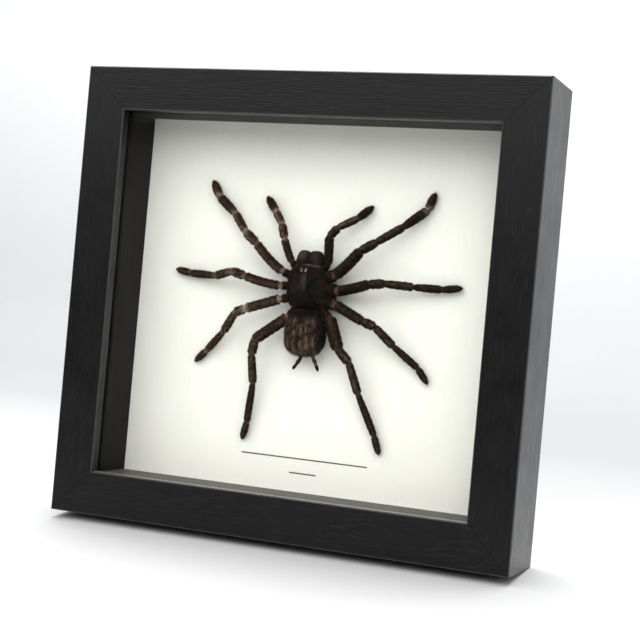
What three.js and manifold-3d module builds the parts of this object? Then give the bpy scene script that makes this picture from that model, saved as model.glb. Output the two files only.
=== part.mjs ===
// A dried tarantula, legs spread, fixed to a white card in a deep black box frame behind glass.
// Millimetres, +Z up. The frame stands on z = 0 with its middle on the Z axis, and its glass
// faces -Y. "Depth" is measured back from the frame's front face, and "rise" is measured
// forward from the card's face.
import * as THREE from 'three';
import { mergeVertices } from 'three/addons/utils/BufferGeometryUtils.js';
import Module from 'manifold-3d';

const wasm = await Module();
wasm.setup();

// ---- Frame ----
const FRAME_WIDTH = 250;
const FRAME_HEIGHT = 236;
const FRAME_DEPTH = 42.5;
const FACE_WIDTH = 22.7;
const LIP_THICKNESS = 5.7;
const WALL_THICKNESS = 15.2;
const ARRIS = 0.6;
const MITRE_GAP = 0.1;

// ---- What fills the rebate, from front to back ----
const GLASS_THICKNESS = 2;
const CARD_DEPTH = 37;
const CARD_THICKNESS = 1;
const BOARD_THICKNESS = 2.5;
const LAYER_GAP = 0.1;
const REBATE_CLEARANCE = 0.5;
const SPACER_INSET = 21.8;
const SPACER_BEVEL = 2.2;

// ---- Bent steel tabs that hold the board in ----
const TAB_WIDTH = 11;
const TAB_THICKNESS = 0.5;
const TAB_REACH = 7;
const TAB_SHANK = 5;
const TAB_SLOT_CLEARANCE = 0.15;
const TAB_SPREAD = 0.27;

// ---- Sawtooth hanger on the back of the top rail ----
const HANGER_LENGTH = 46;
const HANGER_HEIGHT = 9;
const HANGER_THICKNESS = 1;
const HANGER_TEETH = 9;
const TOOTH_DEPTH = 1.6;
const TOOTH_PITCH = 3.4;
const NAIL_SPACING = 38;
const NAIL_RADIUS = 0.7;
const NAIL_HOLE_RADIUS = 0.9;
const NAIL_LENGTH = 9;
const NAIL_TIP_ROOM = 0.4;
const NAIL_HEAD_RADIUS = 1.8;
const NAIL_HEAD_THICKNESS = 0.8;
const ROD_SIDES = 12;

// ---- Spider's body: [x, z, rise] of the middle of each part, and how far it reaches ----
const CARAPACE = { centre: [-1.4, 128.9, 6.4], halfWidth: 11.8, halfLength: 11.9, dome: 5.4, keel: 5.6 };
const HEAD_SQUARENESS = 4.5;
const TAIL_SQUARENESS = 3.4;
const HEAD_NARROWING = 0.2;
const EYE_MOUND = { centre: [-2.4, 137.4, 10.2], half: [1.7, 1.5, 1.5] };
const ABDOMEN = { centre: [-0.1, 105.1, 8.6], halfWidth: 11.2, halfLength: 12.1, halfHeight: 8 };
const SHOULDER_SQUARENESS = 3.6;
const RUMP_SQUARENESS = 2.6;
const ABDOMEN_TAPER = 0.05;
const CHELICERAE = {
  left: { centre: [-5.65, 141.8, 6], half: [3.4, 6, 4.2] },
  right: { centre: [2.2, 141.8, 6], half: [4.1, 6, 4.2] },
};
const BODY_GAP = 0.3;
const GLUE_RADIUS = 5;
const GLUE_SINK = 0.9;
const BODY_SIDES = 24;
const BODY_RINGS = 12;

// ---- Spider's limbs ----
// Joint points of each limb run from inside the body out to the claws. A limb's bow is how far
// the middle of its femur hangs down the card. Thigh and foot scale the radii of its femur and
// of its last two segments.
const LEGS = {
  leg_left_1: { bow: 1.2, thigh: 0.95, foot: 1.12, joints: [[-9, 133, 5.6], [-16.5, 136, 7],
    [-31, 149.5, 11], [-38, 155, 10.5], [-46.5, 164.5, 6.5], [-58.5, 173.5, 3.2], [-63.5, 182, 2]] },
  leg_left_2: { bow: 0.6, thigh: 0.92, foot: 0.95, joints: [[-9, 129, 5.6], [-17.5, 128.5, 7],
    [-36, 132, 11], [-44, 134, 10.5], [-55, 131, 6.5], [-71.5, 131.5, 3.2], [-81, 133, 2]] },
  leg_left_3: { bow: 0, thigh: 1, foot: 0.9, joints: [[-9, 123, 5.6], [-16.5, 121.5, 7],
    [-34, 115, 11], [-40, 112.5, 10.5], [-47.5, 102, 6.5], [-58, 91, 3.2], [-65, 84.5, 2]] },
  leg_left_4: { bow: 0, thigh: 1.16, foot: 0.88, joints: [[-7, 118, 5.4], [-11, 112.5, 7],
    [-27, 99.5, 11], [-28.5, 91.5, 10.5], [-28, 76.5, 6.5], [-31, 55.5, 3.2], [-33.5, 46, 2]] },
  leg_right_1: { bow: 0.8, thigh: 1.15, foot: 1.12, joints: [[6, 133.5, 5.6], [13, 136, 7],
    [27, 149, 11], [35, 154, 10.5], [47.5, 163, 6.5], [58.5, 172.5, 3.2], [61.5, 181.5, 2]] },
  leg_right_2: { bow: 0.4, thigh: 1.04, foot: 0.95, joints: [[6.5, 128, 5.6], [15, 128, 7],
    [33, 132.5, 11], [41.5, 133.5, 10.5], [55.5, 133, 6.5], [70, 133, 3.2], [80, 134.5, 2]] },
  leg_right_3: { bow: 0, thigh: 1, foot: 0.88, joints: [[6, 122.5, 5.6], [14.5, 121, 7],
    [31.5, 113.5, 11], [38, 111.5, 10.5], [47.5, 102.5, 6.5], [60.5, 92.5, 3.2], [66, 85, 2]] },
  leg_right_4: { bow: 0, thigh: 1.3, foot: 0.88, joints: [[5, 118.5, 5.4], [12, 113.5, 7],
    [19.5, 98.5, 11], [26, 92, 10.5], [31, 76.5, 6.5], [40.5, 56, 3.2], [43.5, 46.5, 2]] },
};
const PALPS = {
  left: { bow: 0.8, thigh: 0.92, foot: 1, joints: [[-6.5, 136, 5.6], [-12, 141.5, 6.6],
    [-16, 153, 9.5], [-18.5, 160.5, 8.5], [-24, 167, 5], [-31, 175, 2]] },
  right: { bow: 0, thigh: 1.08, foot: 0.97, joints: [[4, 136.5, 5.6], [8.5, 141.5, 6.6],
    [9, 155.5, 9.5], [13, 160.5, 8.5], [22, 166, 5], [29, 173, 2]] },
};
const SPINNERETS = {
  left: { bow: 0, thigh: 1, foot: 1,
    joints: [[-2.3, 95, 5.6], [-3, 91.4, 5.2], [-5.1, 88.6, 4.6], [-7.3, 85.6, 4]] },
  right: { bow: 0, thigh: 1, foot: 1,
    joints: [[3.4, 95.5, 5.6], [4.3, 92.2, 5.2], [5.8, 89.2, 4.6], [7.1, 85.8, 4]] },
};

// Radius at the start, middle and end of each limb segment, coxa first and femur second.
const LEG_RADII = [[2.3, 2.3, 2], [2.7, 2.6, 2.6], [2.35, 2.45, 2.4], [2, 2.2, 2.25],
  [1.75, 2.25, 2.05], [1.95, 2.1, 1.3]];
const PALP_RADII = [[2, 2, 1.8], [2.15, 2.25, 2.35], [2.15, 2.3, 2.3], [1.9, 2.1, 2.1],
  [2, 2.35, 1.3]];
const SPINNERET_RADII = [[1.15, 1.15, 1.05], [1.05, 1.05, 0.95], [0.9, 0.85, 0.6]];
const JOINT_PINCH = 0.85;
const STATIONS = [0.14, 0.5, 0.86];
const LIMB_SIDES = 8;

// ---- Shared maths ----
const MERGE_DISTANCE = 0.0001;
const depthToY = (depth) => depth - FRAME_DEPTH / 2;
const riseToY = (rise) => depthToY(CARD_DEPTH - rise);
const inRow = ([x, z, rise]) => new THREE.Vector3(x, riseToY(rise), z);

// A geometry from points and the triangles between them.
function meshed(positions, triangles) {
  const geometry = new THREE.BufferGeometry();
  geometry.setAttribute('position', new THREE.Float32BufferAttribute(positions, 3));
  geometry.setIndex(triangles);
  return geometry;
}

// A geometry as a solid that can be joined and cut.
function solidFrom(geometry) {
  geometry.deleteAttribute('normal');
  geometry.deleteAttribute('uv');
  const merged = mergeVertices(geometry, MERGE_DISTANCE);
  return new wasm.Manifold(new wasm.Mesh({
    numProp: 3,
    vertProperties: new Float32Array(merged.attributes.position.array),
    triVerts: new Uint32Array(merged.index.array),
  }));
}

function geometryFrom(solid) {
  const mesh = solid.getMesh();
  const geometry = meshed(Array.from(mesh.vertProperties), Array.from(mesh.triVerts)).toNonIndexed();
  geometry.computeVertexNormals();
  return geometry;
}

function part(name, solid, colour, roughness, metalness = 0) {
  const material = new THREE.MeshStandardMaterial({ color: colour, roughness, metalness });
  const mesh = new THREE.Mesh(geometryFrom(solid), material);
  mesh.name = name;
  return mesh;
}

function box(size, centre) {
  return new THREE.BoxGeometry(...size).translate(...centre);
}

// A closed skin over a stack of rings with the same number of points, with a point at each end.
function skin(rings, firstPoint, lastPoint) {
  const sides = rings[0].length;
  const points = [firstPoint, ...rings.flat(), lastPoint];
  const last = points.length - 1;
  const triangles = [];
  for (let side = 0; side < sides; side += 1) {
    const next = (side + 1) % sides;
    triangles.push(0, 1 + side, 1 + next);
    for (let ring = 0; ring + 1 < rings.length; ring += 1) {
      const near = 1 + ring * sides;
      const far = near + sides;
      triangles.push(near + side, far + next, near + next);
      triangles.push(near + side, far + side, far + next);
    }
    const end = last - sides;
    triangles.push(last, end + next, end + side);
  }
  return meshed(points.flatMap((p) => [p.x, p.y, p.z]), triangles);
}

// ---- Frame rails and spacers: bars with mitred ends ----

// A bar whose section is given as [inset from the frame's outer face, depth] and whose ends
// are cut at 45 degrees, so that it gets shorter as it goes in. It lies along X at the bottom.
function mitredBar(length, section) {
  const positions = [];
  for (const end of [-1, 1]) {
    for (const [inset, depth] of section) {
      positions.push(end * (length / 2 - inset - MITRE_GAP), depthToY(depth), inset);
    }
  }
  const count = section.length;
  const outline = section.map(([inset, depth]) => new THREE.Vector2(depth, inset));
  const triangles = [];
  for (const [a, b, c] of THREE.ShapeUtils.triangulateShape(outline, [])) {
    triangles.push(a, c, b, count + a, count + b, count + c);
  }
  for (let i = 0; i < count; i += 1) {
    const j = (i + 1) % count;
    triangles.push(i, j, count + j, i, count + j, count + i);
  }
  return meshed(positions, triangles);
}

// Stands a bottom piece up as each of the four sides.
function onSide(geometry, side) {
  const quarterTurns = { bottom: 0, right: -1, top: 2, left: 1 };
  const across = side === 'left' || side === 'right';
  const outward = across ? FRAME_WIDTH / 2 : FRAME_HEIGHT / 2;
  geometry.translate(0, 0, -outward);
  geometry.rotateY(quarterTurns[side] * Math.PI / 2);
  return geometry.translate(0, 0, FRAME_HEIGHT / 2);
}

const lengthOf = (side) => (side === 'left' || side === 'right' ? FRAME_HEIGHT : FRAME_WIDTH);

const RAIL_SECTION = [
  [ARRIS, 0], [0, ARRIS], [0, FRAME_DEPTH - ARRIS], [ARRIS, FRAME_DEPTH],
  [WALL_THICKNESS, FRAME_DEPTH], [WALL_THICKNESS, LIP_THICKNESS],
  [FACE_WIDTH, LIP_THICKNESS], [FACE_WIDTH, ARRIS], [FACE_WIDTH - ARRIS, 0],
];

const SPACER_FRONT = LIP_THICKNESS + GLASS_THICKNESS + 2 * LAYER_GAP;
const SPACER_BACK = CARD_DEPTH - LAYER_GAP;
const SPACER_OUTER = WALL_THICKNESS + REBATE_CLEARANCE;
const SPACER_SECTION = [
  [SPACER_OUTER, SPACER_FRONT], [SPACER_OUTER, SPACER_BACK], [SPACER_INSET, SPACER_BACK],
  [SPACER_INSET, SPACER_FRONT + SPACER_BEVEL], [SPACER_INSET - SPACER_BEVEL, SPACER_FRONT],
];

const BOARD_BACK = CARD_DEPTH + CARD_THICKNESS + BOARD_THICKNESS + LAYER_GAP;
const TAB_DEPTH = BOARD_BACK + LAYER_GAP + TAB_THICKNESS / 2;
const tabPlaces = (side) => [-TAB_SPREAD, TAB_SPREAD].map((share) => share * lengthOf(side));

// A tab over the bottom rail: its shank is in the rail and its tongue lies over the board.
function tabShape(along, clearance) {
  const height = TAB_SHANK + TAB_REACH + clearance;
  const size = [TAB_WIDTH + 2 * clearance, TAB_THICKNESS + 2 * clearance, height];
  const middle = WALL_THICKNESS - TAB_SHANK - clearance + height / 2;
  return box(size, [along, depthToY(TAB_DEPTH), middle]);
}

function rail(side) {
  let solid = solidFrom(onSide(mitredBar(lengthOf(side), RAIL_SECTION), side));
  for (const along of tabPlaces(side)) {
    solid = solid.subtract(solidFrom(onSide(tabShape(along, TAB_SLOT_CLEARANCE), side)));
  }
  return part(`frame_rail_${side}`, side === 'top' ? drilled(solid) : solid, 0x232324, 0.55);
}

function spacer(side) {
  const shape = onSide(mitredBar(lengthOf(side), SPACER_SECTION), side);
  return part(`spacer_${side}`, solidFrom(shape), 0x1c1b19, 0.8);
}

function tab(side, index) {
  const shape = onSide(tabShape(tabPlaces(side)[index], 0), side);
  return part(`tab_${side}_${index + 1}`, solidFrom(shape), 0x9a9a96, 0.35, 1);
}

// ---- Sheets that lie in the rebate ----
function sheet(name, frontDepth, thickness, colour, roughness) {
  const margin = 2 * (WALL_THICKNESS + REBATE_CLEARANCE);
  const size = [FRAME_WIDTH - margin, thickness, FRAME_HEIGHT - margin];
  const centre = [0, depthToY(frontDepth + thickness / 2), FRAME_HEIGHT / 2];
  return part(name, solidFrom(box(size, centre)), colour, roughness);
}

function glassPane() {
  const pane = sheet('glass_pane', LIP_THICKNESS + LAYER_GAP, GLASS_THICKNESS, 0xf2f7f5, 0.04);
  pane.material.transparent = true;
  pane.material.opacity = 0.2;
  return pane;
}

// ---- Hanger ----
const HANGER_Z = FRAME_HEIGHT - WALL_THICKNESS / 2;
const HANGER_DEPTH = FRAME_DEPTH + LAYER_GAP + HANGER_THICKNESS / 2;
const NAIL_HEAD_DEPTH = HANGER_DEPTH + HANGER_THICKNESS / 2 + LAYER_GAP;

// A round rod that runs back from frontDepth, on the line of one of the hanger's nails.
function rod(end, radius, frontDepth, length) {
  const shape = new THREE.CylinderGeometry(radius, radius, length, ROD_SIDES);
  return solidFrom(shape.translate(end * NAIL_SPACING / 2, depthToY(frontDepth) + length / 2, HANGER_Z));
}

// The solid with a hole through it for each of the hanger's nails.
function drilled(solid) {
  const length = NAIL_LENGTH + NAIL_TIP_ROOM;
  const left = rod(-1, NAIL_HOLE_RADIUS, NAIL_HEAD_DEPTH - length, length);
  const right = rod(1, NAIL_HOLE_RADIUS, NAIL_HEAD_DEPTH - length, length);
  return solid.subtract(left).subtract(right);
}

// A square peg stood on its edge, which cuts a notch into the hanger's lower edge.
function notch(x, y, z) {
  const peg = new THREE.CylinderGeometry(TOOTH_DEPTH, TOOTH_DEPTH, 2 * HANGER_THICKNESS, 4);
  return solidFrom(peg.translate(x, y, z));
}

function hanger() {
  const y = depthToY(HANGER_DEPTH);
  let plate = solidFrom(box([HANGER_LENGTH, HANGER_THICKNESS, HANGER_HEIGHT], [0, y, HANGER_Z]));
  for (let i = 0; i < HANGER_TEETH; i += 1) {
    const x = (i - (HANGER_TEETH - 1) / 2) * TOOTH_PITCH;
    plate = plate.subtract(notch(x, y, HANGER_Z - HANGER_HEIGHT / 2));
  }
  return part('hanger', drilled(plate), 0xb0a684, 0.35, 1);
}

function hangerNail(name, end) {
  const shank = rod(end, NAIL_RADIUS, NAIL_HEAD_DEPTH - NAIL_LENGTH, NAIL_LENGTH + NAIL_HEAD_THICKNESS / 2);
  const head = rod(end, NAIL_HEAD_RADIUS, NAIL_HEAD_DEPTH, NAIL_HEAD_THICKNESS);
  return part(name, shank.add(head), 0xb0a684, 0.35, 1);
}

// ---- Spider's body ----
// Each solid below can be grown by a small margin. The grown one is only used to cut its
// neighbours, so that they stand BODY_GAP clear.

// A rounded body from its front pole to its back pole along the rise, with its outline set by
// reach(angle), where angle 0 points to +X and 90 degrees to +Z, up the card.
function pebble(centre, reach, up, down, grow) {
  const rings = [];
  for (let ring = 1; ring < BODY_RINGS; ring += 1) {
    const polar = Math.PI * ring / BODY_RINGS;
    const share = Math.sin(polar);
    const height = Math.cos(polar) * ((polar < Math.PI / 2 ? up : down) + grow);
    const points = [];
    for (let side = 0; side < BODY_SIDES; side += 1) {
      const [x, z] = reach(2 * Math.PI * side / BODY_SIDES);
      const swell = share * (1 + grow / Math.hypot(x, z));
      points.push(inRow([centre[0] + x * swell, centre[1] + z * swell, centre[2] + height]));
    }
    rings.push(points);
  }
  const top = inRow([centre[0], centre[1], centre[2] + up + grow]);
  const bottom = inRow([centre[0], centre[1], centre[2] - down - grow]);
  return solidFrom(skin(rings, top, bottom));
}

// An oval whose corners fill out as squareness goes up from 2. narrow(z) scales its width, where
// z runs from -1 at the rear end to 1 at the front end.
function squaredOval(angle, halfWidth, halfLength, squareness, narrow) {
  const x = Math.sign(Math.cos(angle)) * Math.abs(Math.cos(angle)) ** (2 / squareness);
  const z = Math.sign(Math.sin(angle)) * Math.abs(Math.sin(angle)) ** (2 / squareness);
  return [halfWidth * x * narrow(z), halfLength * z];
}

function ellipsoid(centre, half, sides, grow) {
  const [x, z, rise] = half.map((size) => size + grow);
  const ball = new THREE.SphereGeometry(1, sides, sides / 2).scale(x, rise, z);
  return solidFrom(ball.translate(...inRow(centre).toArray()));
}

// The carapace is a rounded square, with its front drawn in to a blunt head.
function carapaceOutline(angle) {
  const squareness = Math.sin(angle) > 0 ? HEAD_SQUARENESS : TAIL_SQUARENESS;
  const narrow = (z) => 1 - HEAD_NARROWING * Math.max(z, 0) ** 2;
  return squaredOval(angle, CARAPACE.halfWidth, CARAPACE.halfLength, squareness, narrow);
}

function carapaceSolid(grow = 0) {
  const shell = pebble(CARAPACE.centre, carapaceOutline, CARAPACE.dome, CARAPACE.keel, grow);
  return shell.add(ellipsoid(EYE_MOUND.centre, EYE_MOUND.half, 12, grow));
}

// The abdomen is a full sack, square where it meets the carapace and round at its rear end.
function abdomenOutline(angle) {
  const squareness = Math.sin(angle) > 0 ? SHOULDER_SQUARENESS : RUMP_SQUARENESS;
  const narrow = (z) => 1 - ABDOMEN_TAPER * z;
  return squaredOval(angle, ABDOMEN.halfWidth, ABDOMEN.halfLength, squareness, narrow);
}

function abdomenSolid(grow = 0) {
  return pebble(ABDOMEN.centre, abdomenOutline, ABDOMEN.halfHeight, ABDOMEN.halfHeight, grow);
}

function cheliceraSolid(side, grow = 0) {
  return ellipsoid(CHELICERAE[side].centre, CHELICERAE[side].half, 20, grow);
}

// ---- Limbs: a skin that swells along each segment and pinches at each joint ----

// The radii of each segment of a limb, with its femur and its last two segments scaled.
function limbRadii(limb, radii) {
  return radii.map((sizes, i) => {
    const foot = i >= radii.length - 2 ? limb.foot : 1;
    return sizes.map((size) => size * (i === 1 ? limb.thigh : foot));
  });
}

function limbStations(limb, radii) {
  const joints = limb.joints.map(inRow);
  const stations = [];
  radii.forEach((sizes, i) => {
    STATIONS.forEach((share, n) => {
      const at = joints[i].clone().lerp(joints[i + 1], share);
      at.z -= i === 1 ? 4 * limb.bow * share * (1 - share) : 0;
      stations.push({ at, radius: sizes[n] });
    });
    if (i + 1 < radii.length) {
      const radius = JOINT_PINCH * Math.min(sizes[2], radii[i + 1][0]);
      stations.push({ at: joints[i + 1].clone(), radius });
    }
  });
  return stations;
}

function limbSolid(limb, radii, grow = 0) {
  const first = inRow(limb.joints[0]);
  const last = inRow(limb.joints[limb.joints.length - 1]);
  const stations = limbStations(limb, limbRadii(limb, radii));
  const towardGlass = new THREE.Vector3(0, -1, 0);
  const rings = stations.map(({ at, radius }, i) => {
    const before = i > 0 ? stations[i - 1].at : first;
    const after = i + 1 < stations.length ? stations[i + 1].at : last;
    const along = after.clone().sub(before).normalize();
    const across = new THREE.Vector3().crossVectors(along, towardGlass).normalize();
    const up = new THREE.Vector3().crossVectors(across, along);
    const ring = [];
    for (let side = 0; side < LIMB_SIDES; side += 1) {
      const angle = 2 * Math.PI * side / LIMB_SIDES;
      const point = at.clone();
      point.addScaledVector(across, (radius + grow) * Math.cos(angle));
      point.addScaledVector(up, (radius + grow) * Math.sin(angle));
      ring.push(point);
    }
    return ring;
  });
  return solidFrom(skin(rings, first, last));
}

// ---- Spider's pieces ----
function chelicera(side) {
  const solid = cheliceraSolid(side).subtract(carapaceSolid(BODY_GAP));
  return part(`chelicera_${side}`, solid, 0x3a332b, 0.85);
}

function leg(name) {
  const solid = limbSolid(LEGS[name], LEG_RADII).subtract(carapaceSolid(BODY_GAP));
  return part(name, solid, 0x372a26, 0.9);
}

function pedipalp(side) {
  let solid = limbSolid(PALPS[side], PALP_RADII).subtract(carapaceSolid(BODY_GAP));
  solid = solid.subtract(cheliceraSolid(side, BODY_GAP));
  return part(`pedipalp_${side}`, solid, 0x372a26, 0.9);
}

function abdomen() {
  let solid = abdomenSolid().subtract(carapaceSolid(BODY_GAP));
  for (const name of ['leg_left_4', 'leg_right_4']) {
    solid = solid.subtract(limbSolid(LEGS[name], LEG_RADII, BODY_GAP));
  }
  return part('abdomen', solid, 0x4b4037, 0.95);
}

function spinneret(side) {
  const solid = limbSolid(SPINNERETS[side], SPINNERET_RADII).subtract(abdomenSolid(BODY_GAP));
  return part(`spinneret_${side}`, solid, 0x241a15, 0.9);
}

function glueDab() {
  const height = CARAPACE.centre[2] - CARAPACE.keel + GLUE_SINK - LAYER_GAP;
  const middle = inRow([CARAPACE.centre[0], CARAPACE.centre[1], LAYER_GAP + height / 2]);
  const disc = new THREE.CylinderGeometry(GLUE_RADIUS, GLUE_RADIUS, height, 24);
  const solid = solidFrom(disc.translate(...middle.toArray())).subtract(carapaceSolid(BODY_GAP));
  return part('glue_dab', solid, 0xd9d2b8, 0.3);
}

function spider() {
  const pieces = new THREE.Group();
  pieces.add(part('carapace', carapaceSolid(), 0x1f1311, 0.7));
  for (const side of ['left', 'right']) {
    pieces.add(chelicera(side));
    pieces.add(pedipalp(side));
    pieces.add(spinneret(side));
  }
  for (const name of Object.keys(LEGS)) {
    pieces.add(leg(name));
  }
  pieces.add(abdomen());
  pieces.add(glueDab());
  return pieces;
}

// ---- The whole framed specimen ----
const group = new THREE.Group();
group.name = 'framed_tarantula_specimen';
for (const side of ['top', 'bottom', 'left', 'right']) {
  group.add(rail(side));
  group.add(spacer(side));
  group.add(tab(side, 0));
  group.add(tab(side, 1));
}
group.add(glassPane());
group.add(sheet('mount_card', CARD_DEPTH, CARD_THICKNESS, 0xf2f1ea, 0.9));
group.add(sheet('backing_board', CARD_DEPTH + CARD_THICKNESS + LAYER_GAP, BOARD_THICKNESS, 0x8a6a45, 0.8));
group.add(hanger());
group.add(hangerNail('hanger_nail_left', -1));
group.add(hangerNail('hanger_nail_right', 1));
group.add(spider());

export default group;
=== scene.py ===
"""The looks of a framed tarantula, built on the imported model. Metres, +Z up, glass towards -Y.

Places on the spider are written as (x, z, rise) in millimetres, where rise is how far a point
stands forward of the white card. They are close to the places that the solids have.
"""
import math

import bpy
import numpy as np
from mathutils import Matrix, Vector


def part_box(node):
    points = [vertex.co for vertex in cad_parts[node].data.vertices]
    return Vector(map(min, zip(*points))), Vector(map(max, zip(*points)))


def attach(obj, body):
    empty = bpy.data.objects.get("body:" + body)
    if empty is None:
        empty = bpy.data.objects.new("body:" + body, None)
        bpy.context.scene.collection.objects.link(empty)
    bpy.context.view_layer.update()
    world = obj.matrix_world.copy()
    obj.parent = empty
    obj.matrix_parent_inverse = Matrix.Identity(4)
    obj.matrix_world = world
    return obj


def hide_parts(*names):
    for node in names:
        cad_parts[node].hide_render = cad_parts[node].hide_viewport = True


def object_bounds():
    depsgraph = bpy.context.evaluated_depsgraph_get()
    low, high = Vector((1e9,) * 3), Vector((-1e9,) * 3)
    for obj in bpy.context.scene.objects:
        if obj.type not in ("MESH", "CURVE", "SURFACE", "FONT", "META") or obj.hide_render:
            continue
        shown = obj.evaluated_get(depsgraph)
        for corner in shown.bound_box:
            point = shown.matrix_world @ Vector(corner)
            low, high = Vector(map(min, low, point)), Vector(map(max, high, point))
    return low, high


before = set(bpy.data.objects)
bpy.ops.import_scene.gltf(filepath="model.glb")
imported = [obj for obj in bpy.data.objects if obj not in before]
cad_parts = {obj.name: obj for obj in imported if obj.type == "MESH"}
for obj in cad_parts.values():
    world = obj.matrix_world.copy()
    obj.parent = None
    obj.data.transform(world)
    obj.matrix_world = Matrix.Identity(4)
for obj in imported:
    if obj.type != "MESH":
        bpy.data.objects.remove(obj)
cad_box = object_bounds()

MM = 0.001
CARD_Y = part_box("mount_card")[0].y
TOWARDS_GLASS = np.array([0.0, -1.0, 0.0])

# ---- The spider's places and sizes ----
CARAPACE = {"centre": (-1.4, 128.9, 6.4), "half_width": 11.8, "half_length": 11.9, "dome": 5.4,
            "keel": 5.6}
HEAD_SQUARENESS = 4.5
TAIL_SQUARENESS = 3.4
HEAD_NARROWING = 0.2
FOVEA = (0.5, -3.8)
EYE_MOUND = (-1.1, 8.5)
FRINGE_RISE = 4.2
ABDOMEN = {"centre": (-0.1, 105.1, 8.6), "half_width": 11.2, "half_length": 12.1, "half_height": 8}
SHOULDER_SQUARENESS = 3.6
RUMP_SQUARENESS = 2.6
ABDOMEN_TAPER = 0.05
# The last number of each jaw is how strong the painted highlight on its top is.
CHELICERAE = {
    "chelicera_left": {"centre": (-5.55, 141.8, 6), "half": (3.65, 6, 4.2), "inner": 1, "highlight_strength": 0.75},
    "chelicera_right": {"centre": (2.15, 141.8, 6), "half": (4.3, 6, 4.2), "inner": -1, "highlight_strength": 0.15},
}

# Joint points run from inside the body out to the claws. A limb's bow is how far the middle of its
# femur hangs down the card. Coxa, thigh and foot scale the radii of its first segment, of its femur
# and of its last two segments. Hip is how pale its hip is, and hip_out is how far beyond the joint that
# patch stands. Bleached says which other joints are pale and how much. Dark is how dark the limb is.
LEGS = {
    "leg_left_1": {"bow": 1.2, "thigh": 0.95, "foot": 1.12, "dark": 0.1, "hip": 1,
                   "bleached": {3: 0.8, 4: 0.55, 5: 0.9}, "joints": [
        (-9, 133, 5.6), (-16.5, 136, 7), (-31, 149.5, 11), (-38, 155, 10.5), (-46.5, 164.5, 6.5),
        (-58.5, 173.5, 3.2), (-63.5, 182, 2)]},
    "leg_left_2": {"bow": 0.6, "thigh": 0.92, "foot": 0.95, "dark": 0.15, "hip": 0.95, "hip_out": -0.8,
                   "bleached": {3: 0.5, 4: 0.35}, "joints": [
        (-9, 129, 5.6), (-17.5, 128.5, 7), (-36, 132, 11), (-44, 134, 10.5), (-55, 131, 6.5),
        (-71.5, 131.5, 3.2), (-81, 133, 2)]},
    "leg_left_3": {"foot": 0.9, "dark": 0.1, "hip": 1,
                   "bleached": {2: 1.1, 5: 0.4}, "joints": [
        (-9, 123, 5.6), (-16.5, 121.5, 7), (-34, 115, 11), (-40, 112.5, 10.5), (-47.5, 102, 6.5),
        (-58, 91, 3.2), (-65, 84.5, 2)]},
    "leg_left_4": {"thigh": 1.16, "foot": 0.88, "dark": 0.3, "hip": 0.75, "joints": [
        (-7, 118, 5.4), (-11, 112.5, 7), (-27, 99.5, 11), (-28.5, 91.5, 10.5), (-28, 76.5, 6.5),
        (-31, 55.5, 3.2), (-33.5, 46, 2)]},
    "leg_right_1": {"bow": 0.8, "thigh": 1.15, "foot": 1.12, "dark": 0.55, "hip": 0.6,
                    "hip_out": 0.5, "coxa": 1.5, "bleached": {5: 1.2}, "joints": [
        (6, 133.5, 5.6), (13, 136, 7), (27, 149, 11), (35, 154, 10.5), (47.5, 163, 6.5),
        (58.5, 172.5, 3.2), (61.5, 181.5, 2)]},
    "leg_right_2": {"bow": 0.4, "thigh": 1.04, "foot": 0.95, "dark": 0.6, "hip": 0.6, "hip_out": 0.8,
                    "coxa": 1.6, "joints": [
        (6.5, 128, 5.6), (15, 128, 7), (33, 132.5, 11), (41.5, 133.5, 10.5), (55.5, 133, 6.5),
        (70, 133, 3.2), (80, 134.5, 2)]},
    "leg_right_3": {"foot": 0.88, "dark": 0.5, "hip": 0.6, "hip_out": 0.4,
                    "coxa": 1.5, "joints": [
        (6, 122.5, 5.6), (14.5, 121, 7), (31.5, 113.5, 11), (38, 111.5, 10.5), (47.5, 102.5, 6.5),
        (60.5, 92.5, 3.2), (66, 85, 2)]},
    "leg_right_4": {"thigh": 1.3, "foot": 0.88, "dark": 0.4, "hip": 0.45, "joints": [
        (5, 118.5, 5.4), (12, 113.5, 7), (19.5, 98.5, 11), (26, 92, 10.5), (31, 76.5, 6.5),
        (40.5, 56, 3.2), (43.5, 46.5, 2)]},
}
PALPS = {
    "pedipalp_left": {"bow": 0.8, "thigh": 0.92, "hip": 0.2,
                      "bleached": {4: 0.6}, "joints": [
        (-6.5, 136, 5.6), (-12, 141.5, 6.6), (-16, 153, 9.5), (-18.5, 160.5, 8.5), (-24, 167, 5),
        (-31, 175, 2)]},
    "pedipalp_right": {"thigh": 1.08, "foot": 0.97, "dark": 0.5, "hip": 0.1, "joints": [
        (4, 136.5, 5.6), (8.5, 141.5, 6.6), (9, 155.5, 9.5), (13, 160.5, 8.5), (22, 166, 5),
        (29, 173, 2)]},
}
SPINNERETS = {
    "spinneret_left": {"dark": 0.5, "joints": [
        (-2.3, 95, 5.6), (-3, 91.4, 5.2), (-5.1, 88.6, 4.6), (-7.3, 85.6, 4)]},
    "spinneret_right": {"joints": [
        (3.4, 95.5, 5.6), (4.3, 92.2, 5.2), (5.8, 89.2, 4.6), (7.1, 85.8, 4)]},
}
# Radius at the start, middle and end of each segment, coxa first and femur second.
LEG_RADII = [(2.3, 2.3, 2.0), (2.6, 2.55, 2.5), (2.2, 2.45, 2.35), (1.9, 2.15, 2.15), (1.65, 2.15, 1.9),
             (1.75, 1.95, 1.2)]
PALP_RADII = [(2, 2, 1.8), (2.1, 2.2, 2.25), (2.05, 2.25, 2.2), (1.8, 2.05, 2.0), (1.8, 2.15, 1.25)]
SPINNERET_RADII = [(1.1, 1.15, 1.0), (1.0, 1.05, 0.9), (0.85, 0.85, 0.6)]
# How pale the streak along the top of each segment is.
LEG_STREAKS = (0, 0.4, 0.85, 0.7, 0.25, 0.3)
PALP_STREAKS = (0, 0.15, 0.6, 1, 0.1)
SPINNERET_STREAKS = (0.9, 0.9, 0)
LEG_HAIRS = 8000
PALP_HAIRS = 4500


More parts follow.
